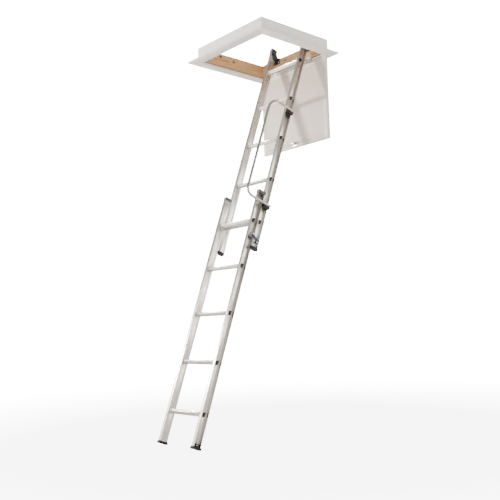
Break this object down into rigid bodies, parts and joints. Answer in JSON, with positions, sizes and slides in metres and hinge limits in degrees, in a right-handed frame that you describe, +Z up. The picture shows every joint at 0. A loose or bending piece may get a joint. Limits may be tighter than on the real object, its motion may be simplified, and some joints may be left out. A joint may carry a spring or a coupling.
{
  "type": "loft ladder",
  "caption": "Sliding two-section aluminium loft ladder with a bent tube handrail, hung in a timber hatch surround with white trim and an open drop-down trapdoor.",
  "frame": {"origin": "middle of the hatch opening, in the plane of the ceiling", "axes": "+Z up, +Y towards the hinge side of the hatch, which the climber faces, +X to the climber's right"},
  "size_m": [0.692, 1.0381, 2.4591],
  "materials": {
    "pine": "planed pine",
    "white_paint": "satin paint",
    "door_paint": "satin paint",
    "mill_aluminium": "mill finish, lightly brushed",
    "bright_aluminium": "satin",
    "black_steel": "satin black paint",
    "zinc": "bright zinc plate",
    "blue_zinc": "dark blue zinc plate",
    "black_plastic": "moulded",
    "grey_plastic": "moulded",
    "black_rubber": "moulded"
  },
  "bodies": {
    "hatch": {"lining_hinge_side": "pine", "lining_front": "pine", "lining_left": "pine", "lining_right": "pine", "trim_hinge_side": "white_paint", "trim_front": "white_paint", "trim_left": "white_paint", "trim_right": "white_paint", "lining_screws": "zinc", "pivot_bracket_left": "black_steel", "pivot_bracket_right": "black_steel", "bracket_screws": "zinc", "pivot_bolts": "zinc", "hinge_frame_leaves": "zinc", "hinge_pins": "zinc", "hinge_frame_screws": "zinc", "door_keeper": "zinc"},
    "door": {"door_panel": "door_paint", "door_stile_left": "door_paint", "door_stile_right": "door_paint", "door_rail_hinge": "door_paint", "door_rail_catch": "door_paint", "hinge_door_leaves": "zinc", "hinge_door_screws": "zinc", "door_catch_plate": "zinc"},
    "door_catch": {"door_catch_turn": "zinc"},
    "upper_section": {"upper_stile_left": "mill_aluminium", "upper_stile_right": "mill_aluminium", "upper_rung_1": "bright_aluminium", "upper_rung_2": "bright_aluminium", "upper_rung_3": "bright_aluminium", "upper_rung_4": "bright_aluminium", "upper_rung_5": "bright_aluminium", "upper_rung_plugs": "black_plastic", "pivot_bushes": "black_plastic", "lower_guide_left": "black_plastic", "lower_guide_right": "black_plastic", "handrail": "bright_aluminium", "handrail_caps": "black_plastic", "handrail_saddles": "black_plastic", "handrail_bolts": "zinc", "slide_catch_plate": "zinc", "slide_catch_pin": "zinc", "slide_catch_spring": "zinc"},
    "slide_catch": {"slide_catch_lever": "blue_zinc"},
    "lower_section": {"lower_stile_left": "mill_aluminium", "lower_stile_right": "mill_aluminium", "lower_rung_1": "bright_aluminium", "lower_rung_2": "bright_aluminium", "lower_rung_3": "bright_aluminium", "lower_rung_4": "bright_aluminium", "lower_rung_5": "bright_aluminium", "lower_rung_plugs": "black_plastic", "top_guide_left": "grey_plastic", "top_guide_right": "grey_plastic", "slide_stud": "zinc", "foot_left": "black_rubber", "foot_right": "black_rubber", "foot_rivets": "zinc"}
  },
  "joints": [
    {"name": "ladder_tilt", "type": "hinge", "parent": "hatch", "child": "upper_section", "pos_m": [0, 0.2355, 0.116], "axis": [-1, 0, 0], "range_deg": [0, 35]},
    {"name": "lower_slide", "type": "slide", "parent": "upper_section", "child": "lower_section", "axis": [0, 0.342, 0.9397], "range_m": [0, 1.04]},
    {"name": "slide_catch_swing", "type": "hinge", "parent": "upper_section", "child": "slide_catch", "pos_m": [0.15, -0.23671, -1.19453], "axis": [1, 0, 0], "range_deg": [0, 35], "stiffness_Nm_per_rad": 0.2, "springref_deg": -20.05},
    {"name": "door_swing", "type": "hinge", "parent": "hatch", "child": "door", "pos_m": [0, 0.2535, -0.01], "axis": [-1, 0, 0], "range_deg": [0, 18]},
    {"name": "door_catch_turn", "type": "hinge", "parent": "door", "child": "door_catch", "pos_m": [0, 0.2675, -0.512], "axis": [0, 1, 0], "range_deg": [0, 90]}
  ]
}
